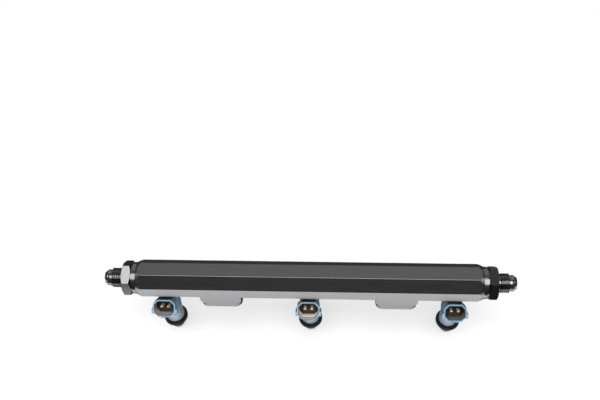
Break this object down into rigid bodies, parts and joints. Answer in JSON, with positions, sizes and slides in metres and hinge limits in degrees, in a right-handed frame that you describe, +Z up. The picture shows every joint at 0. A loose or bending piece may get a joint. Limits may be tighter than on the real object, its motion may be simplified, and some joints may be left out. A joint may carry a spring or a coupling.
{
  "type": "fuel rail",
  "caption": "Fuel rail for an engine bank: an octagonal bar with a fuel bore, threaded hose adapters at its ends, slotted mounting brackets and injectors with plug sockets.",
  "frame": {"origin": "midway between the two mounting bolts, on the plane under the bracket tabs", "axes": "+X along the rail, +Y from the bar towards the bracket tabs, +Z up, away from the engine, parallel to the injectors and the bolts"},
  "size_m": [0.2954, 0.0481, 0.0838],
  "materials": {
    "black_anodised_aluminium": "satin black anodised",
    "black_anodised_fitting": "bright black anodised",
    "seal_rubber": "smooth black",
    "cushion_rubber": "moulded black",
    "black_steel": "black oxide",
    "zinc_plated_steel": "bright zinc plate",
    "stainless_steel": "turned",
    "blue_moulded_plastic": "moulded, slightly glossy",
    "tinned_brass": "bright",
    "filter_mesh": "fine mesh"
  },
  "bodies": {
    "root": {"rail_body": "black_anodised_aluminium", "left_hose_adapter": "black_anodised_fitting", "left_port_o_ring": "seal_rubber", "left_bracket": "black_anodised_aluminium", "left_bracket_screws": "black_steel", "left_bolt_washer": "zinc_plated_steel", "left_mounting_bolt": "zinc_plated_steel", "right_hose_adapter": "black_anodised_fitting", "right_port_o_ring": "seal_rubber", "right_bracket": "black_anodised_aluminium", "right_bracket_screws": "black_steel", "right_bolt_washer": "zinc_plated_steel", "right_mounting_bolt": "zinc_plated_steel", "left_injector_body": "blue_moulded_plastic", "left_injector_pins": "tinned_brass", "left_inlet_tube": "stainless_steel", "left_inlet_filter": "filter_mesh", "left_injector_housing": "stainless_steel", "left_injector_nozzle": "stainless_steel", "left_upper_o_ring": "seal_rubber", "left_lower_o_ring": "seal_rubber", "left_injector_cushion": "cushion_rubber", "middle_injector_body": "blue_moulded_plastic", "middle_injector_pins": "tinned_brass", "middle_inlet_tube": "stainless_steel", "middle_inlet_filter": "filter_mesh", "middle_injector_housing": "stainless_steel", "middle_injector_nozzle": "stainless_steel", "middle_upper_o_ring": "seal_rubber", "middle_lower_o_ring": "seal_rubber", "middle_injector_cushion": "cushion_rubber", "right_injector_body": "blue_moulded_plastic", "right_injector_pins": "tinned_brass", "right_inlet_tube": "stainless_steel", "right_inlet_filter": "filter_mesh", "right_injector_housing": "stainless_steel", "right_injector_nozzle": "stainless_steel", "right_upper_o_ring": "seal_rubber", "right_lower_o_ring": "seal_rubber", "right_injector_cushion": "cushion_rubber"}
  },
  "joints": []
}
